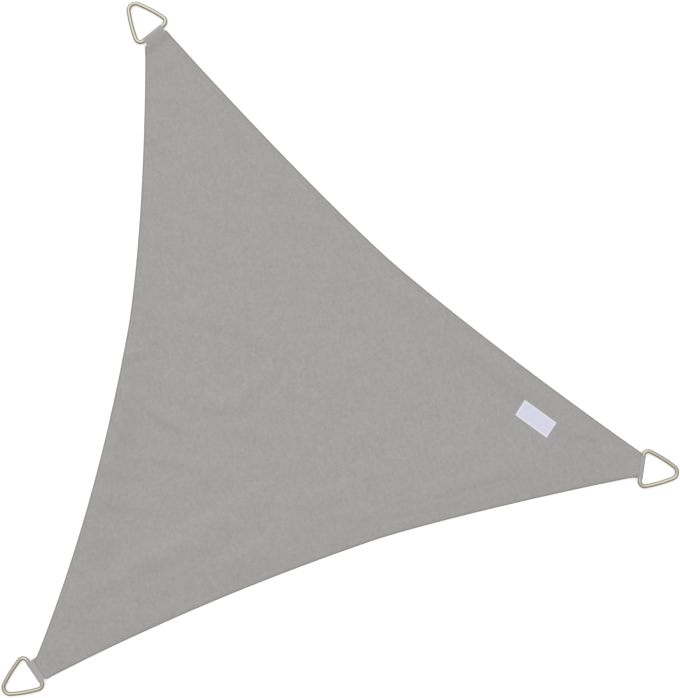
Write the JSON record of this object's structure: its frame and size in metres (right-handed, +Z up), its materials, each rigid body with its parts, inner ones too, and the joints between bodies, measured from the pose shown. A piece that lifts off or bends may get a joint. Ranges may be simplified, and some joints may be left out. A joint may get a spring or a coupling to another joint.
{
  "type": "triangular shade sail with corner rings",
  "caption": "Triangular knitted shade sail with hollowed, hemmed sides, webbing corner loops and rounded-triangle steel rings to fasten it by, lying flat.",
  "frame": {"origin": "under the middle of the bounding box, on the surface that the sail lies on", "axes": "+X along the bottom side towards the right ring, +Y towards the top corner, +Z up out of the cloth's face"},
  "size_m": [2.113, 1.8563, 0.0165],
  "materials": {
    "sail_cloth": "matt knitted polyethylene cloth, light warm grey, with a fine rib",
    "webbing": "woven webbing, the cloth's grey, a little darker",
    "ring_steel": "satin steel with a warm cast",
    "label": "smooth woven patch, bare, slightly bluish white"
  },
  "bodies": {
    "root": {"sail_cloth": "sail_cloth", "label": "label", "loop_top": "webbing", "loop_right": "webbing", "loop_left": "webbing", "ring_top": "ring_steel", "ring_right": "ring_steel", "ring_left": "ring_steel"}
  },
  "joints": []
}
